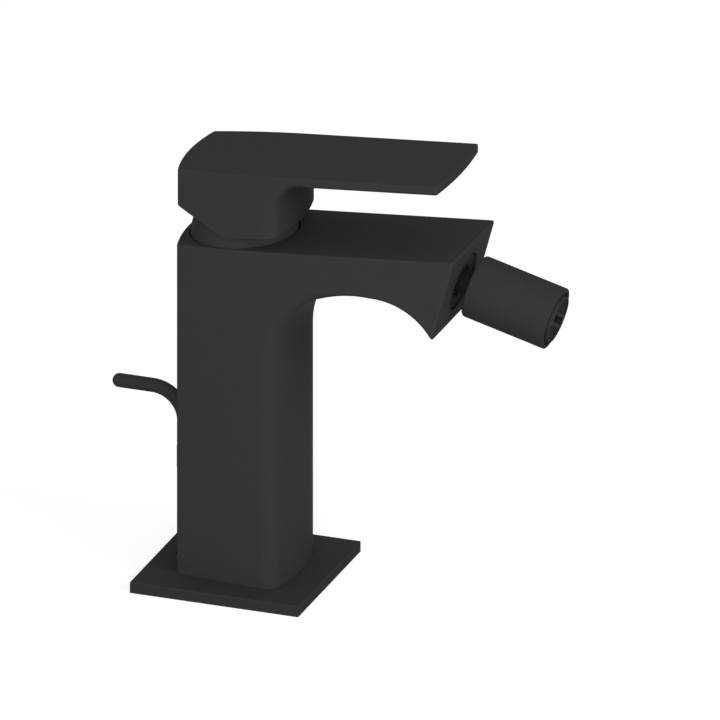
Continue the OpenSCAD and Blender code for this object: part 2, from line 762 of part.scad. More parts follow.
shell_end = sleeve_end - 0.6;
shell_lip_t = 1.2;
module aerator_shell() {
  color([0.2, 0.2, 0.2]) at_face() difference() {
    union() {
      ring_solid(thread_r - fit, grille_r + fit, thread_z, shell_end - thread_z);
      ring_solid(thread_r - fit, grille_r - 1.2, thread_z, shell_lip_t);
    }
    for (s = [-1, 1]) translate([s * (grille_r + 1) - 1, -1.1, shell_end - 1.6])
      cube([2, 2.2, 3]);
  }
}

grille_end = sleeve_end + 1;
bar_w = 5;
bar_t = 0.4;
slot_w = 2.4;
// The aerator is screwed in, so its bar stops at any angle
bar_turn = -29;
mesh_t = 0.25;
mesh_z = grille_end - bar_t - mesh_t;
mesh_r = grille_r - 0.7;
mesh_rim = 0.6;
ledge_w = 0.8;
slot_end = mesh_r - 1.5 * ledge_w;

// Slot for a coin across the bar, and open below it
module coin_slot(gap) {
  rotate([0, 0, bar_turn]) translate([-slot_w / 2 - gap, -slot_end - gap, mesh_z - 1])
    cube([slot_w + 2 * gap, 2 * (slot_end + gap), 4]);
}

module aerator_mesh() {
  pitch = 1.25;
  wire = 0.45;
  steps = floor((mesh_r - mesh_rim) / pitch);
  color([0.3, 0.3, 0.3]) at_face() difference() {
    union() {
      ring_solid(mesh_r, mesh_r - mesh_rim, mesh_z, mesh_t);
      intersection() {
        translate([0, 0, mesh_z]) cylinder(h = mesh_t, r = mesh_r - mesh_rim / 2);
        union() for (i = [-steps : steps]) {
          translate([-mesh_r, i * pitch - wire / 2, mesh_z - eps]) cube([2 * mesh_r, wire, 1]);
          translate([i * pitch - wire / 2, -mesh_r, mesh_z - eps]) cube([wire, 2 * mesh_r, 1]);
        }
      }
    }
    coin_slot(fit);
  }
}

// Grille: a rim with a ledge for the mesh, and one slotted bar across it
module aerator_grille() {
  color([0.25, 0.25, 0.25]) at_face() difference() {
    union() {
      ring_solid(grille_r, mesh_r + fit, thread_z + shell_lip_t, grille_end - thread_z - shell_lip_t);
      ring_solid(mesh_r + 0.3, mesh_r - ledge_w, mesh_z - 2, 2);
      intersection() {
        rotate([0, 0, bar_turn]) translate([-bar_w / 2, -grille_r, mesh_z + mesh_t])
          cube([bar_w, 2 * grille_r, bar_t]);
        translate([0, 0, mesh_z]) cylinder(h = 10, r = mesh_r + 0.4);
      }
    }
    coin_slot(0);
  }
}

base_plate();
plate_gasket();
body_casting();
spigot_seal();
rod_clip();
popup_rod();
cartridge_base();
port_seals();
cartridge_housing();
fixed_disc();
moving_disc();
disc_carrier();
stem_guide();
guide_oring();
pivot_pin();
lever_stem();
retaining_nut();
dome_cover();
lever();
lever_screw();
screw_cap();
ball_nipple();
nipple_ring();
ball_liner();
nozzle_sleeve();
seat_bush();
aerator_washer();
aerator_shell();
aerator_mesh();
aerator_grille();
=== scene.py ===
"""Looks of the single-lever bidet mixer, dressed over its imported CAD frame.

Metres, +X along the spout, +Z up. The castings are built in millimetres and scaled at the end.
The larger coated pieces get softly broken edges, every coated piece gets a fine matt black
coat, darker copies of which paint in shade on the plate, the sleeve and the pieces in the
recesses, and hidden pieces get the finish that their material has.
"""
import json
import math

import bmesh
import bpy
from mathutils import Matrix, Vector
from mathutils.bvhtree import BVHTree

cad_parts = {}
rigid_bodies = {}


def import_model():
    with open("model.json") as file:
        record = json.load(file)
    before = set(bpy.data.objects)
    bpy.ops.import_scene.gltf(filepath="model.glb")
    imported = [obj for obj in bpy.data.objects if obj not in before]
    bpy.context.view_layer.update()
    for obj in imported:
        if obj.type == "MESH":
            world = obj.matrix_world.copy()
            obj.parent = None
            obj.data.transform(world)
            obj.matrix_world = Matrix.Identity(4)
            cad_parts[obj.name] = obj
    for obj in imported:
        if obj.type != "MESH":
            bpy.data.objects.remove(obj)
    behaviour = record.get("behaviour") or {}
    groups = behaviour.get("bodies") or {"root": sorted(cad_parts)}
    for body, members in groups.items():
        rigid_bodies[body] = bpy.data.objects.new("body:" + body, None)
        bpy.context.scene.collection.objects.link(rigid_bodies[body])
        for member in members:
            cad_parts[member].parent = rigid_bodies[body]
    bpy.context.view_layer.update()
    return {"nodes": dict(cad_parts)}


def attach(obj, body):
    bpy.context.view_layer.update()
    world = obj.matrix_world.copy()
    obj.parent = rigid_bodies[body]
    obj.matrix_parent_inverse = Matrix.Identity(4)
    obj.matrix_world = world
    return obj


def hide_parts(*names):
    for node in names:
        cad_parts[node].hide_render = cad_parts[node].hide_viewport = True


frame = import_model()
MM = 0.001


def new_object(name, data):
    thing = bpy.data.objects.new(name, data)
    bpy.context.scene.collection.objects.link(thing)
    return thing


# Camera and lights

# The photograph's view, solved from its straight edges
AZIMUTH = math.radians(20.37)
ELEVATION = math.radians(23.06)
VIEW_WIDTH = 0.2402
VIEW_CENTRE = Vector((26.24, 39.34, 65.17)) * MM
CAMERA_DISTANCE = 1.2
LIGHT_AIM = Vector((0.02, 0, 0.07))
# Where each light stands, its width and height in metres and its power in watts
LIGHTS = {
    "key": ((0.4, -1.6, 0.6), (0.9, 0.6), 15.5),
    "side": ((1.5, -0.55, 0.92), (0.8, 0.8), 10.5),
}


def make_camera():
    """A parallel camera, as the photograph has."""
    back = Vector((math.sin(AZIMUTH) * math.cos(ELEVATION),
                   -math.cos(AZIMUTH) * math.cos(ELEVATION), math.sin(ELEVATION)))
    right = Vector((math.cos(AZIMUTH), math.sin(AZIMUTH), 0))
    up = back.cross(right)
    data = bpy.data.cameras.new("camera")
    data.type = "ORTHO"
    data.ortho_scale = VIEW_WIDTH
    data.clip_start, data.clip_end = 0.01, 10
    camera = new_object("camera", data)
    turn = Matrix((right, up, back)).transposed().to_4x4()
    camera.matrix_world = Matrix.Translation(VIEW_CENTRE + back * CAMERA_DISTANCE) @ turn
    bpy.context.scene.camera = camera


def make_lights():
    for name, (place, (width, height), power) in LIGHTS.items():
        data = bpy.data.lights.new(name, "AREA")
        data.shape = "RECTANGLE"
        data.size, data.size_y = width, height
        data.energy = power
        lamp = new_object(name, data)
        lamp.location = place
        lamp.rotation_euler = (LIGHT_AIM - lamp.location).to_track_quat("-Z", "Y").to_euler()


# Shader nodes

def cleared_tree(owner):
    """The empty node tree of a world or a material."""
    owner.use_nodes = True
    owner.node_tree.nodes.clear()
    return owner.node_tree


def maths(tree, operation, *values):
    """What a maths node makes of numbers and of other nodes' outputs."""
    node = tree.nodes.new("ShaderNodeMath")
    node.operation = operation
    for socket, value in zip(node.inputs, values):
        if isinstance(value, bpy.types.NodeSocket):
            tree.links.new(value, socket)
        else:
            socket.default_value = value
    return node.outputs[0]


def white_light(tree, kind, strength):
    """A white emission or world background."""
    node = tree.nodes.new(kind)
    node.inputs["Color"].default_value = (1, 1, 1, 1)
    node.inputs["Strength"].default_value = strength
    return node.outputs[0]


def mixed(tree, factor, first, second):
    """The first shader where the factor is 0 and the second where it is 1."""
    node = tree.nodes.new("ShaderNodeMixShader")
    for socket, value in zip(node.inputs, (factor, first, second)):
        tree.links.new(value, socket)
    return node.outputs[0]


def background_ray(tree):
    """1 for the rays that see the background as it is: from the camera, in gloss and through glass."""
    path = tree.nodes.new("ShaderNodeLightPath")
    seen = maths(tree, "MAXIMUM", path.outputs["Is Camera Ray"], path.outputs["Is Glossy Ray"])
    return maths(tree, "MAXIMUM", seen, path.outputs["Is Transmission Ray"])


# White surroundings

# Strength of the world's even light; to the camera the world is pure white
AMBIENT = 0.46
FLOOR_HALF = 3.0
# The floor lies a little low, so that it doesn't coincide with the plate's underside
FLOOR_DROP = 0.02 * MM
# The floor throws back this much light, and the glow makes it white to the camera
FLOOR_GREY = 0.4
FLOOR_GLOW = 0.76


def make_world():
    world = bpy.data.worlds.new("studio")
    bpy.context.scene.world = world
    tree = cleared_tree(world)
    dim = white_light(tree, "ShaderNodeBackground", AMBIENT)
    white = white_light(tree, "ShaderNodeBackground", 1)
    out = tree.nodes.new("ShaderNodeOutputWorld")
    tree.links.new(mixed(tree, background_ray(tree), dim, white), out.inputs[0])


def floor_material():
    """Grey paper that takes shadows, with a glow that only background rays see."""
    mat = bpy.data.materials.new("floor_white")
    tree = cleared_tree(mat)
    paper = tree.nodes.new("ShaderNodeBsdfDiffuse")
    paper.inputs["Color"].default_value = (FLOOR_GREY, FLOOR_GREY, FLOOR_GREY, 1)
    none = white_light(tree, "ShaderNodeEmission", 0)
    glow = white_light(tree, "ShaderNodeEmission", FLOOR_GLOW)
    both = tree.nodes.new("ShaderNodeAddShader")
    tree.links.new(paper.outputs[0], both.inputs[0])
    tree.links.new(mixed(tree, background_ray(tree), none, glow), both.inputs[1])
    out = tree.nodes.new("ShaderNodeOutputMaterial")
    tree.links.new(both.outputs[0], out.inputs[0])
    return mat


def make_floor():
    mesh = bpy.data.meshes.new("floor")
    corners = [(x * FLOOR_HALF, y * FLOOR_HALF, 0) for x, y in ((-1, -1), (1, -1), (1, 1), (-1, 1))]
    mesh.from_pydata(corners, [], [(0, 1, 2, 3)])
    mesh.materials.append(floor_material())
    floor = new_object("floor", mesh)
    floor.location.z = -FLOOR_DROP


# Materials

# Share of the fine grain in the mottling; the rest is broad patches of this size in millimetres
FINE_SHARE = 0.45
BROAD_GRAIN = 14
# How far the roughness varies, and how strongly the grain shows as relief
ROUGHNESS_SPREAD = 0.07
RELIEF = 0.35


def noise(tree, where, size, detail, roughness=0.5):
    """Noise whose grains are about this many millimetres."""
    node = tree.nodes.new("ShaderNodeTexNoise")
    node.inputs["Scale"].default_value = 1 / (size * MM)
    node.inputs["Detail"].default_value = detail
    node.inputs["Roughness"].default_value = roughness
    tree.links.new(where, node.inputs["Vector"])
    return node.outputs[0]


def mottled_colour(tree, colour, mottle, amount):
    """The colour, darker and lighter by the share mottle as the amount goes from 0 to 1."""
    shade = tree.nodes.new("ShaderNodeMix")
    shade.data_type = "RGBA"
    shade.inputs["A"].default_value = (*(c * (1 - mottle) for c in colour), 1)
    shade.inputs["B"].default_value = (*(min(1, c * (1 + mottle)) for c in colour), 1)
    tree.links.new(amount, shade.inputs["Factor"])
    return shade.outputs["Result"]


def varied_roughness(tree, roughness, amount):
    rough = tree.nodes.new("ShaderNodeMapRange")
    rough.inputs["To Min"].default_value = max(0.02, roughness - ROUGHNESS_SPREAD)
    rough.inputs["To Max"].default_value = min(1, roughness + ROUGHNESS_SPREAD)
    tree.links.new(amount, rough.inputs["Value"])
    return rough.outputs[0]


def relief(tree, height, depth):
    """The normals of a surface with this height map, as many millimetres deep."""
    node = tree.nodes.new("ShaderNodeBump")
    node.inputs["Strength"].default_value = RELIEF
    node.inputs["Distance"].default_value = depth * MM
    tree.links.new(height, node.inputs["Height"])
    return node.outputs[0]


def material(name, colour, roughness, metallic=0.0, specular=0.5, grain=0.25, bump=0.02,
             mottle=0.12, stretch=(1, 1, 1)):
    """A finish with a fine surface grain, whose size and depth in millimetres are grain and bump.

    mottle is how far the colour varies, and stretch draws the grain out along an axis, for
    turned or drawn metal.
    """
    mat = bpy.data.materials.new(name)
    mat.use_nodes = True
    tree = mat.node_tree
    shader = tree.nodes["Principled BSDF"]
    shader.inputs["Metallic"].default_value = metallic
    shader.inputs["Specular IOR Level"].default_value = specular
    where = tree.nodes.new("ShaderNodeTexCoord")
    scale = tree.nodes.new("ShaderNodeMapping")
    scale.inputs["Scale"].default_value = stretch
    tree.links.new(where.outputs["Object"], scale.inputs["Vector"])

    fine = noise(tree, scale.outputs[0], grain, detail=3, roughness=0.6)
    broad = noise(tree, scale.outputs[0], BROAD_GRAIN, detail=4)
    patches = maths(tree, "MULTIPLY", broad, 1 - FINE_SHARE)
    amount = maths(tree, "MULTIPLY_ADD", fine, FINE_SHARE, patches)
    tree.links.new(mottled_colour(tree, colour, mottle, amount), shader.inputs["Base Color"])
    tree.links.new(varied_roughness(tree, roughness, broad), shader.inputs["Roughness"])
    tree.links.new(relief(tree, fine, bump), shader.inputs["Normal"])
    return mat


coat = material("matt_black_coat", (0.037, 0.037, 0.0373), 0.8, specular=0.03, grain=0.32, bump=0.03)
# A darker copy of the coat, the same in all but its colour, which paints in shade on the plate and the
# sleeve
coat_painted_shade = material("matt_black_turned", (0.033, 0.033, 0.0333), 0.8, specular=0.03, grain=0.32,
                       bump=0.03)
coat_insert = material("matt_black_insert", (0.019, 0.019, 0.0192), 0.75, specular=0.05, grain=0.3)
# A still darker copy of the coat, which paints in shade on the ball nipple deep in the spout's recess
# and on the aerator's mesh inside the nozzle
coat_recess_shade = material("matt_black_inner", (0.014, 0.014, 0.0142), 0.7, specular=0.05, grain=0.3)
moulded_black = material("moulded_black", (0.017, 0.017, 0.018), 0.5, specular=0.3, grain=0.6)
rubber = material("black_rubber", (0.014, 0.014, 0.0145), 0.75, specular=0.3, grain=0.5, bump=0.05)
white_plastic = material("white_plastic", (0.66, 0.66, 0.63), 0.45, grain=1.2, mottle=0.04)
ceramic = material("lapped_ceramic", (0.8, 0.78, 0.73), 0.16, grain=0.2, bump=0.004, mottle=0.03)
# Turning leaves a grain that is long round the axis and short along it
TURNED = (0.12, 0.12, 1.6)
steel = material("turned_steel", (0.56, 0.56, 0.57), 0.3, metallic=1, grain=0.5, mottle=0.1,
                 stretch=TURNED)
brass = material("turned_brass", (0.72, 0.53, 0.25), 0.3, metallic=1, grain=0.5, mottle=0.1,
                 stretch=TURNED)

# The plate and the sleeve take the darker coat, and the ball nipple and the aerator's mesh the
# darkest, both as painted shade
FINISH = {
    "base_plate": coat_painted_shade, "body_casting": coat, "popup_rod": coat, "dome_cover": coat,
    "lever": coat, "screw_cap": coat, "nipple_ring": coat, "aerator_grille": coat,
    "nozzle_sleeve": coat_painted_shade, "aerator_shell": coat_insert,
    "ball_nipple": coat_recess_shade, "aerator_mesh": coat_recess_shade, "rod_clip": moulded_black,
    "plate_gasket": rubber, "spigot_seal": rubber, "port_seals": rubber,
    "guide_oring": rubber, "aerator_washer": rubber,
    "cartridge_base": white_plastic, "cartridge_housing": white_plastic,
    "disc_carrier": white_plastic, "stem_guide": white_plastic, "ball_liner": white_plastic,
    "fixed_disc": ceramic, "moving_disc": ceramic,
    "pivot_pin": steel, "lever_stem": steel, "lever_screw": steel,
    "retaining_nut": brass, "seat_bush": brass,
}


# Sizes of the castings in millimetres, as in the part's source

# Half width of the body and of the lever, from PARALLEL_X forward
HALF_W = 20.0
PARALLEL_X = 14.0
# Radius of the sides where they close in toward the back
SIDE_R = 195.0
# Radius of the gently bowed front and back faces, and of the corners beside the front
BOW_R = 64.0
FRONT_CORNER_R = 5.0
# Slope of the body's top and of the lever
TILT = math.radians(5)
SLOPE = math.tan(TILT)
PLATE_HALF = 30.0
PLATE_T = 4.0
# Height of the body's sloping top, over the origin
TOP_Z = 124.8
BODY_FRONT = 20.2
BODY_BACK = 20.35
# The arch under the spout is a fillet, one arc up to its highest point and one down to the tip
ARCH_X = 52.0
SPOUT_H = 14.9
FILLET_R = 24.0
ARCH_R = 40.0
TIP_R = 24.6
# The spout's face, which leans forward; the nozzle's axis is FACE_DROP down along it
SPOUT_REACH = 81.65
LEAN = math.radians(15)
FACE_TOP = (SPOUT_REACH, TOP_Z + SLOPE * SPOUT_REACH)
FACE_DOWN = (-math.sin(LEAN), -math.cos(LEAN))
FACE_DROP = 15.4
# Height of the lever's sloping top, over the origin
LEVER_TOP_Z = TOP_Z + 27.4
LEVER_FRONT = 20.5
LEVER_BACK = 20.05
LEVER_REACH = 77.0
LEVER_FILLET_R = 10.0
BLADE_T = 3.5
BLADE_END_R = 150.0
# The hub's lowest line, and how its underside slopes up from there to the front and to the back
HUB_Z = TOP_Z + 3.5
HUB_LOW_X = -0.9
HUB_RISE = math.radians(8.4)
HUB_CUT = math.radians(28.3)
# The hub is built down to here before its underside is cut
UNCUT_HUB_Z = HUB_Z - 4


# Broken edges in millimetres

SPOUT_EDGE = 0.7
FACE_EDGE = 1.0
TIP_EDGE = 1.6
REAR_EDGE = 0.9
BLADE_EDGE = 0.65
BLADE_END_EDGE = 1.0
LEVER_REAR_EDGE = 0.8
HUB_EDGE = 0.4
PLATE_EDGE = 0.5
PLATE_LOW_EDGE = 0.2
SLEEVE_EDGE = 0.9
SLEEVE_END_EDGE = 0.25
DOME_EDGE = 0.3
# Radii of the long edges below, which the strips draw as arcs
UNDER_SPOUT_R = 1.0
UNDER_TIP_R = 1.7
HUB_CORNER_R = 0.8
UNDER_BLADE_R = 1.1
# An edge is broken where its faces turn by more than HARD, and smooth shading stops at SHARP
HARD = math.radians(28)
SHARP = math.radians(32)
# Edges are told apart by where their middle is; one this near to a height or a side is on it
NEAR = 0.1
# The upright rear edges lie behind this
REAR_X = -15.0
# The tip's edge lies no more than this over the tip
TIP_ZONE = 2.0
# The blade's end takes up the last part of the lever's reach
BLADE_END_ZONE = 7.0
# The hub's underside lies behind this
HUB_FRONT_X = LEVER_FRONT + 0.5
# Outer edges of the nozzle lie farther from its axis, and rear ones nearer to the spout's face
SLEEVE_OUTER_R = 10.0
SLEEVE_REAR_ZONE = 10.0
# The dome's rim lies outside this radius, and the edge of its opening over this height
DOME_RIM_R = 17.0
DOME_OPENING_Z = 130.0


# Forms of the castings, in millimetres

# Numbers of steps in the arcs
CORNER_STEPS = 7
BOW_STEPS = 12
BACK_STEPS = 14
FILLET_STEPS = 14
ARCH_STEPS = 10
TIP_STEPS = 16
BLADE_STEPS = 12
# Tries until the back wall's half width settles
BACK_TRIES = 6
# Each x at which the bowed sides are cut
SIDE_CUTS = range(-16, 15, 2)
# Points this near to a cutting plane are on it
ON_PLANE = 1e-4
# How round the front still is where fillet and arch meet, and how fast the arch loses the rest
MID_ROUNDNESS = 0.6
ROUNDNESS_FADE = 0.7
# The least roundness for a bow's radius, so that a flat underside has a radius too
LEAST_ROUNDNESS = 0.02


def half_width(x):
    """Half width of the body and of the lever at x."""
    if x >= PARALLEL_X:
        return HALF_W
    return HALF_W - SIDE_R + math.sqrt(SIDE_R ** 2 - (PARALLEL_X - x) ** 2)


def blend(a, b, t):
    return a + (b - a) * t


def across(bow, radius, half):
    """(depth, y) from one side to the other of a face bowed outward, with rounded corners."""
    a = math.asin((half - radius) / (bow - radius))
    deep = bow - (bow - radius) * math.cos(a)
    ends = [(deep - radius * math.cos(t), half - radius + radius * math.sin(t))
            for t in (blend(math.pi / 2, a, i / CORNER_STEPS) for i in range(CORNER_STEPS + 1))]
    middle = [(bow - bow * math.cos(t), bow * math.sin(t))
              for t in (blend(a, -a, i / BOW_STEPS) for i in range(1, BOW_STEPS))]
    return ends + middle + [(depth, -y) for depth, y in reversed(ends)]


def strip(q, inward, roundness, edge):
    """One line of points across the front or the underside, at the outline's point q.

    A roundness of 1 is the column's bowed front with its corners, and 0 is a flat underside
    whose edges have the radius edge. inward points from q into the material.
    """
    bow = BOW_R / max(roundness, LEAST_ROUNDNESS)
    radius = blend(edge, FRONT_CORNER_R, roundness)
    points = []
    for depth, y in across(bow, radius, HALF_W):
        x, z = q[0] + inward[0] * depth, q[1] + inward[1] * depth
        points.append(Vector((x, y * half_width(x) / HALF_W, z)))
    return points


def arc(centre, radius, first, last, steps):
    """Steps along an outline's arc, from its first to its last angle in degrees.

    Each step is the share of the way, the point and the direction into the material, which
    lies on the outside of these arcs.
    """
    for i in range(1, steps + 1):
        t = math.radians(blend(first, last, i / steps))
        out = (math.cos(t), math.sin(t))
        yield i / steps, (centre[0] + radius * out[0], centre[1] + radius * out[1]), out


def back_line(back):
    """Points (x, y) of the bowed back wall, from the far side to the near one.

    The wall is as wide as the sides are apart where it meets them, which its bow shifts.
    """
    half = half_width(-back)
    for _ in range(BACK_TRIES):
        half = half_width(-back + BOW_R - math.sqrt(BOW_R ** 2 - half ** 2))
    turn = math.asin(half / BOW_R)
    angles = [blend(turn, -turn, i / BACK_STEPS) for i in range(BACK_STEPS + 1)]
    return [(-back + BOW_R - BOW_R * math.cos(t), BOW_R * math.sin(t)) for t in angles]


def cut_sides(form):
    """Cuts the two side walls upright at each of SIDE_CUTS, so that their bow is even.

    The walls are the faces that look sideways and have more corners than a strip's faces.
    """
    for x in SIDE_CUTS:
        form.normal_update()
        walls = [f for f in form.faces if abs(f.normal.y) > 0.9 and len(f.verts) > 4]
        edges = {e for f in walls for e in f.edges}
        verts = {v for f in walls for v in f.verts}
        bmesh.ops.bisect_plane(form, geom=walls + list(edges) + list(verts), dist=ON_PLANE,
                               plane_co=(x, 0, 0), plane_no=(1, 0, 0))


def skin(strips, end_top, back, low_z, top_z):
    """A closed form from strips up the front and along the underside to the end.

    end_top gives, for some points of the last strip, where the end face above them meets the
    top. The back is a bowed wall, the top is one sloping plane, and the sides follow
    half_width. Returns a bmesh in millimetres.
    """
    form = bmesh.new()
    rows = [[form.verts.new(p) for p in row] for row in strips]
    for below, above in zip(rows, rows[1:]):
        for i in range(len(below) - 1):
            form.faces.new((below[i], below[i + 1], above[i + 1], above[i]))

    # The end
    marks = sorted(end_top)
    rims = [form.verts.new(end_top[i]) for i in marks]
    for (a, rim_a), (b, rim_b) in zip(zip(marks, rims), zip(marks[1:], rims[1:])):
        form.faces.new(rows[-1][a:b + 1] + [rim_b, rim_a])
    rows.append(rims)

    # The back
    wall = back_line(back)
    low = [form.verts.new((x, y, low_z)) for x, y in wall]
    high = [form.verts.new((x, y, top_z + SLOPE * x)) for x, y in wall]
    for i in range(len(wall) - 1):
        form.faces.new((low[i], high[i], high[i + 1], low[i + 1]))

    # The sides, the top and the bottom
    sides = []
    for sign, end in ((1, 0), (-1, -1)):
        line = [form.verts.new((x, sign * half_width(x), top_z + SLOPE * x)) for x in SIDE_CUTS]
        sides.append(line)
        loop = [row[end] for row in rows] + line[::-1] + [high[end], low[end]]
        form.faces.new(loop if sign > 0 else loop[::-1])
    form.faces.new(rims + sides[1][::-1] + high[::-1] + sides[0])
    form.faces.new(rows[0][::-1] + low)
    cut_sides(form)
    bmesh.ops.recalc_face_normals(form, faces=form.faces)
    return form


def spout_strips():
    """Strips up the column's front, over the arch and down to the tip, with the tip's height."""
    # The fillet's circle lies inside the arch's and touches it where the two join
    arch_z = TOP_Z + SLOPE * ARCH_X - SPOUT_H
    arch_c = (ARCH_X, arch_z - ARCH_R)
    fillet_x = BODY_FRONT + FILLET_R
    fillet_c = (fillet_x, arch_c[1] + math.sqrt((ARCH_R - FILLET_R) ** 2 - (ARCH_X - fillet_x) ** 2))
    join = math.degrees(math.atan2(fillet_c[1] - arch_c[1], fillet_c[0] - arch_c[0]))

    # The tip is where the last arc meets the face
    tip_c = (ARCH_X, arch_z - TIP_R)
    to_c = (tip_c[0] - FACE_TOP[0], tip_c[1] - FACE_TOP[1])
    along = to_c[0] * FACE_DOWN[0] + to_c[1] * FACE_DOWN[1]
    reach = along - math.sqrt(along ** 2 - (to_c[0] ** 2 + to_c[1] ** 2) + TIP_R ** 2)
    tip = (FACE_TOP[0] + FACE_DOWN[0] * reach, FACE_TOP[1] + FACE_DOWN[1] * reach)
    tip_a = math.degrees(math.atan2(tip[1] - tip_c[1], tip[0] - tip_c[0]))

    strips = [strip((BODY_FRONT, z), (-1, 0), 1, UNDER_SPOUT_R) for z in (PLATE_T, fillet_c[1])]
    for part, q, out in arc(fillet_c, FILLET_R, 180, join, FILLET_STEPS):
        strips.append(strip(q, out, blend(1, MID_ROUNDNESS, part), UNDER_SPOUT_R))
    for part, q, out in arc(arch_c, ARCH_R, join, 90, ARCH_STEPS):
        strips.append(strip(q, out, blend(MID_ROUNDNESS, 0, part ** ROUNDNESS_FADE), UNDER_SPOUT_R))
    for part, q, out in arc(tip_c, TIP_R, 90, tip_a, TIP_STEPS):
        x = blend(ARCH_X, FACE_TOP[0], part)
        inward = (x - q[0], TOP_Z + SLOPE * x - q[1])
        size = math.hypot(*inward)
        inward = (inward[0] / size, inward[1] / size)
        strips.append(strip(q, inward, 0, blend(UNDER_SPOUT_R, UNDER_TIP_R, part)))
    return strips, tip[1]


def lever_strips():
    """Strips up the hub's front and out along the blade's underside, to its bowed end."""
    under_z = LEVER_TOP_Z - BLADE_T / math.cos(TILT)
    fillet_x = LEVER_FRONT + LEVER_FILLET_R
    fillet_c = (fillet_x, under_z + SLOPE * fillet_x - LEVER_FILLET_R / math.cos(TILT))
    strips = [strip((LEVER_FRONT, z), (-1, 0), 1, HUB_CORNER_R) for z in (UNCUT_HUB_Z, fillet_c[1])]
    for part, q, out in arc(fillet_c, LEVER_FILLET_R, 180, 90 + math.degrees(TILT), BLADE_STEPS):
        strips.append(strip(q, out, blend(1, 0, part), UNDER_BLADE_R))
    last = []
    for p in strips[-1]:
        x = LEVER_REACH - (BLADE_END_R - math.sqrt(BLADE_END_R ** 2 - p.y ** 2))
        last.append(Vector((x, math.copysign(min(abs(p.y), HALF_W), p.y), p.z + SLOPE * (x - p.x))))
    strips.append(last)
    return strips


def cut_hub(form):
    """Cuts the hub off along two slopes that meet in its lowest line."""
    for rise, sign in ((HUB_RISE, 1), (HUB_CUT, -1)):
        down = (math.sin(rise) * sign, 0, -math.cos(rise))
        everything = list(form.verts) + list(form.edges) + list(form.faces)
        cut = bmesh.ops.bisect_plane(form, geom=everything, dist=ON_PLANE,
                                     plane_co=(HUB_LOW_X, 0, HUB_Z), plane_no=down, clear_outer=True)
        rim = [e for e in cut["geom_cut"] if isinstance(e, bmesh.types.BMEdge)]
        bmesh.ops.holes_fill(form, edges=rim)
    bmesh.ops.recalc_face_normals(form, faces=form.faces)


# From forms to pieces

# Points of a CAD mesh this near to a form are on its outside and are pushed out by PUSH, in mm
SKIN_GAP = 0.12
PUSH = 0.7
# Opposite faces that leave less of a direction than this push nothing
NO_PUSH = 0.01
# Points less than this many metres apart are one
SAME_POINT = 1e-6
# Faces that meet at less than this are one flat face
FLAT = math.radians(0.3)
# Steps across a broken edge
CASTING_SEGMENTS = 4
SOFT_SEGMENTS = 3


def body_name(node):
    return frame["nodes"][node].parent.name.removeprefix("body:")


def paint(thing, node):
    """Gives a thing the finish of a CAD node, and no other."""
    thing.data.materials.clear()
    thing.data.materials.append(FINISH[node])


def hang_up(piece, node):
    """Puts a painted piece in a CAD node's place, on the node's body."""
    paint(piece, node)
    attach(piece, body_name(node))
    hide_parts(node)


def bare_mesh(node):
    """A copy of a CAD node's mesh without its stored normals, which don't outlast an edit."""
    mesh = frame["nodes"][node].data.copy()
    normals = mesh.attributes.get("custom_normal")
    if normals:
        mesh.attributes.remove(normals)
    return mesh


def welded(mesh):
    """A bmesh of a mesh with its doubled points joined."""
    form = bmesh.new()
    form.from_mesh(mesh)
    bmesh.ops.remove_doubles(form, verts=form.verts, dist=SAME_POINT)
    return form


def inner_form(node, form):
    """The CAD node's mesh with its outside pushed out past the form, for its hollows alone."""
    tree = BVHTree.FromBMesh(form)
    inner = bare_mesh(node)
    solid = welded(inner)
    for vert in solid.verts:
        near = {tuple(round(c, 1) for c in hit[1])
                for hit in tree.find_nearest_range(vert.co / MM, SKIN_GAP)}
        push = sum((Vector(n) for n in near), Vector())
        if push.length > NO_PUSH:
            vert.co += push.normalized() * PUSH * MM
    solid.to_mesh(inner)
    solid.free()
    return inner


def middle(edge):
    return (edge.verts[0].co + edge.verts[1].co) / 2


def weigh_edges(form, width_of):
    """Stores how wide each hard edge is broken, as a share of the widest.

    width_of gives an edge's width in mm, or 0. Returns the widest and the widths by edge.
    """
    weight = form.edges.layers.float.new("bevel_weight_edge")
    widths = {e: width_of(e) for e in form.edges if e.is_manifold and e.calc_face_angle() > HARD}
    widest = max(widths.values())
    for edge, width in widths.items():
        edge[weight] = width / widest
    return widest, widths


def add_bevel(piece, widest, segments):
    """Breaks the weighed edges; the widest is given in mm."""
    bevel = piece.modifiers.new("edges", "BEVEL")
    bevel.width = widest * MM
    bevel.segments = segments
    bevel.limit_method = "WEIGHT"
    bevel.use_clamp_overlap = False
    return bevel


def with_hollows(piece, inner):
    """The piece's mesh with its modifiers applied and the inner mesh's hollows cut into it."""
    cutter = new_object("inner", inner)
    keep = piece.modifiers.new("hollows", "BOOLEAN")
    keep.operation = "INTERSECT"
    keep.solver = "EXACT"
    keep.object = cutter
    bpy.context.view_layer.update()
    done = bpy.data.meshes.new_from_object(piece.evaluated_get(bpy.context.evaluated_depsgraph_get()))
    piece.modifiers.clear()
    bpy.data.objects.remove(cutter)
    closed = welded(done)
    bmesh.ops.dissolve_degenerate(closed, dist=SAME_POINT, edges=closed.edges)
    closed.to_mesh(done)
    closed.free()
    return done


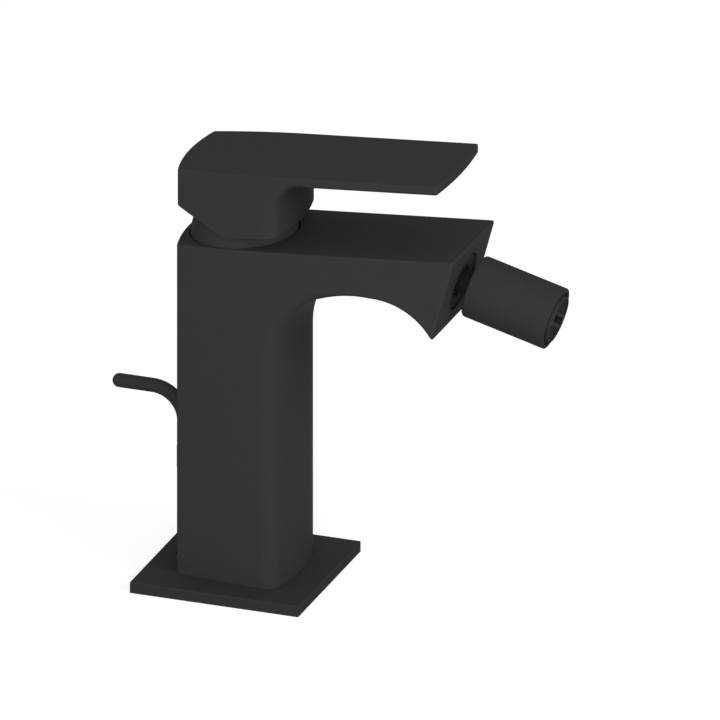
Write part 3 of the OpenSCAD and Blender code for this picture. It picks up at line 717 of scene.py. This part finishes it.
def finish_form(node, form, width_at):
    """Breaks the edges of a form, keeps the CAD node's bores and hollows in it and hangs it up.

    width_at gives, for an edge's middle and the normals beside it, how wide it is broken, or 0.
    """
    form.normal_update()
    inner = inner_form(node, form)
    widest, _ = weigh_edges(form, lambda e: width_at(middle(e), [f.normal for f in e.link_faces]))
    bmesh.ops.scale(form, vec=(MM, MM, MM), verts=form.verts)
    mesh = bpy.data.meshes.new(node + "_skin")
    form.to_mesh(mesh)
    form.free()
    piece = new_object(node + "_skin", mesh)
    add_bevel(piece, widest, CASTING_SEGMENTS)
    piece.data = with_hollows(piece, inner)
    piece.data.shade_smooth()
    piece.data.set_sharp_from_angle(angle=SHARP)
    # Large flat faces keep an even shade right up to the narrow ones beside them
    even = piece.modifiers.new("even_shading", "WEIGHTED_NORMAL")
    even.keep_sharp = True
    even.weight = 80
    hang_up(piece, node)


def soften(node, width_at):
    """Puts a copy of a CAD node with its hard edges broken in the node's place.

    width_at gives, for an edge's middle in mm, how wide it is broken, or 0.
    """
    mesh = bare_mesh(node)
    mesh.name = node + "_skin"
    form = welded(mesh)
    bmesh.ops.dissolve_limit(form, angle_limit=FLAT, verts=form.verts, edges=form.edges)
    widest, widths = weigh_edges(form, lambda e: width_at(middle(e) / MM))
    for face in form.faces:
        face.smooth = True
    for edge, width in widths.items():
        edge.smooth = width > 0
    form.to_mesh(mesh)
    form.free()
    piece = new_object(node + "_skin", mesh)
    bevel = add_bevel(piece, widest, SOFT_SEGMENTS)
    bevel.harden_normals = True
    bevel.miter_outer = "MITER_ARC"
    hang_up(piece, node)


# Pieces

def on_top(normals):
    """Whether an edge borders the sloping top, which alone looks almost straight up."""
    return any(n.z > 0.99 for n in normals)


def on_spout_face(normals):
    """Whether an edge borders the spout's face, which looks forward and a little down."""
    return any(n.x > 0.9 and n.z < -0.2 for n in normals)


def on_upright_rear(p, normals):
    """Whether an edge is one of the two upright ones at the back."""
    return p.x < REAR_X and all(abs(n.z) < 0.1 for n in normals)


def make_casting():
    """Column and spout in one, with a flat face at the spout's end."""
    strips, tip_z = spout_strips()
    end_top = {0: (FACE_TOP[0], HALF_W, FACE_TOP[1]),
               len(strips[-1]) - 1: (FACE_TOP[0], -HALF_W, FACE_TOP[1])}
    form = skin(strips, end_top, BODY_BACK, PLATE_T, TOP_Z)

    def width_at(p, normals):
        if p.z < PLATE_T + NEAR:
            return 0
        if on_upright_rear(p, normals):
            return REAR_EDGE
        if on_spout_face(normals):
            return TIP_EDGE if p.z < tip_z + TIP_ZONE else FACE_EDGE
        return SPOUT_EDGE if on_top(normals) else 0

    finish_form("body_casting", form, width_at)


def make_lever():
    """Hub and blade: the blade's end is bowed, and the hub is cut away below in two slopes."""
    strips = lever_strips()
    last = strips[-1]
    corner = CORNER_STEPS + 1
    ends = [0] + list(range(corner, len(last) - corner, 2)) + [len(last) - 1]
    end_top = {i: (last[i].x, last[i].y, LEVER_TOP_Z + SLOPE * last[i].x) for i in ends}
    form = skin(strips, end_top, LEVER_BACK, UNCUT_HUB_Z, LEVER_TOP_Z)
    cut_hub(form)

    def width_at(p, normals):
        if on_top(normals):
            return BLADE_EDGE
        if p.x > LEVER_REACH - BLADE_END_ZONE:
            return BLADE_END_EDGE
        if on_upright_rear(p, normals):
            return LEVER_REAR_EDGE
        under_hub = p.x < HUB_FRONT_X and any(n.z < -0.8 for n in normals)
        return HUB_EDGE if under_hub else 0

    finish_form("lever", form, width_at)


def plate_edge(p):
    if max(abs(p.x), abs(p.y)) < PLATE_HALF - NEAR:
        return 0
    return PLATE_EDGE if p.z > PLATE_T - NEAR else PLATE_LOW_EDGE


def nozzle_edge(p):
    along = (p.x - FACE_TOP[0]) * -FACE_DOWN[1] + (p.z - FACE_TOP[1]) * FACE_DOWN[0]
    axis = Vector((FACE_TOP[0] + FACE_DOWN[0] * FACE_DROP - FACE_DOWN[1] * along, 0,
                   FACE_TOP[1] + FACE_DOWN[1] * FACE_DROP + FACE_DOWN[0] * along))
    if (p - axis).length < SLEEVE_OUTER_R:
        return 0
    return SLEEVE_EDGE if along < SLEEVE_REAR_ZONE else SLEEVE_END_EDGE


def dome_edge(p):
    return DOME_EDGE if math.hypot(p.x, p.y) > DOME_RIM_R or p.z > DOME_OPENING_Z else 0


bpy.context.scene.view_settings.view_transform = "Standard"
make_camera()
make_world()
make_floor()
make_lights()

for name, node in frame["nodes"].items():
    paint(node, name)

make_casting()
make_lever()
soften("base_plate", plate_edge)
soften("nozzle_sleeve", nozzle_edge)
soften("dome_cover", dome_edge)
